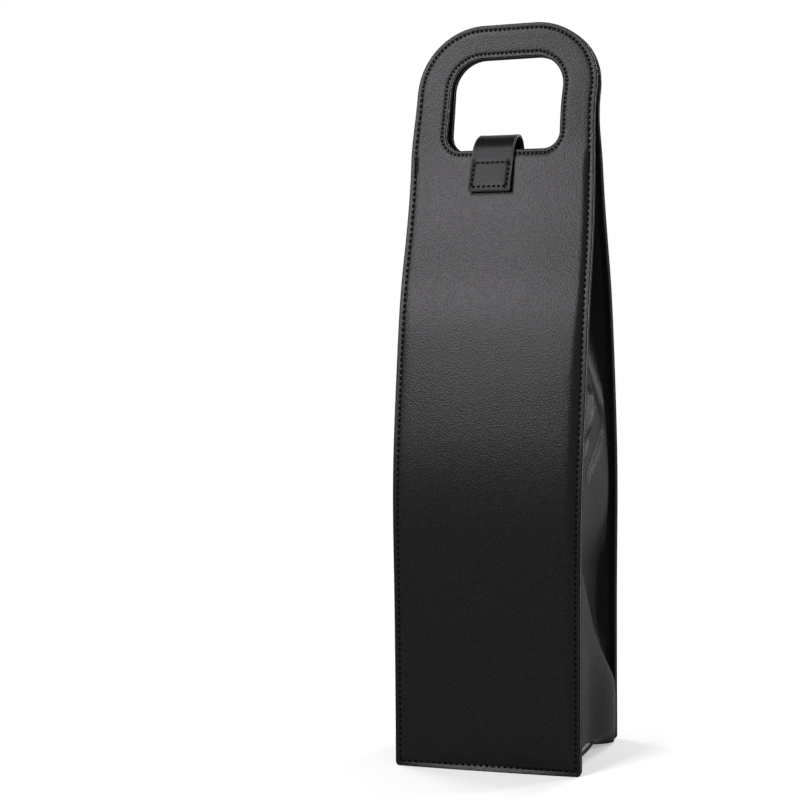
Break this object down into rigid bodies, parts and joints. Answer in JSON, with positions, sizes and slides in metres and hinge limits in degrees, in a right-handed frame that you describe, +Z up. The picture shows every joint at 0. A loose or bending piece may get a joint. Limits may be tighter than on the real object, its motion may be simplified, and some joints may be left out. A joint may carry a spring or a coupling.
{
  "type": "bottle carrier",
  "caption": "Upright leatherette bottle carrier: stiff panels with hand holes, folded side gussets, raised base and a magnetic strap that closes the mouth.",
  "frame": {"origin": "middle of the footprint, on the surface that the carrier stands on", "axes": "+Z up through the handle, -Y out of the front panel that the strap closes on, +X towards the right gusset"},
  "size_m": [0.096, 0.0886, 0.37],
  "materials": {
    "leatherette": "fine pebble grain, satin black",
    "gusset_leatherette": "soft black leatherette, satin",
    "lining": "matt black lining",
    "board": "stiffening sheet, not seen",
    "thread": "black sewing thread",
    "magnet_steel": "plated discs, not seen"
  },
  "bodies": {
    "carrier_back": {"back_outer_skin": "leatherette", "back_board": "board", "back_lining": "lining", "back_edge_thread": "thread", "back_hand_hole_thread": "thread", "back_bar_tacks": "thread", "left_gusset": "gusset_leatherette", "right_gusset": "gusset_leatherette", "base_skin": "gusset_leatherette", "base_board": "board", "base_lining": "lining", "strap_root": "leatherette", "strap_root_thread": "thread"},
    "front_panel": {"front_outer_skin": "leatherette", "front_board": "board", "front_lining": "lining", "front_edge_thread": "thread", "front_hand_hole_thread": "thread", "front_bar_tacks": "thread", "front_catch_disc": "magnet_steel"},
    "closure_strap": {"strap_flap": "leatherette", "tab_backing": "leatherette", "tab_magnet": "magnet_steel", "tab_thread": "thread"}
  },
  "joints": [
    {"name": "front_panel_open", "type": "hinge", "parent": "carrier_back", "child": "front_panel", "pos_m": [0, -0.044, 0], "axis": [1, 0, 0], "range_deg": [0, 7.5]},
    {"name": "strap_flip", "type": "hinge", "parent": "carrier_back", "child": "closure_strap", "pos_m": [-0.004, 0, 0.315], "axis": [-1, 0, 0], "range_deg": [0, 180]}
  ],
  "couplings": [
    {"joint": "strap_flip", "follows": "front_panel_open", "ratio": 24}
  ]
}
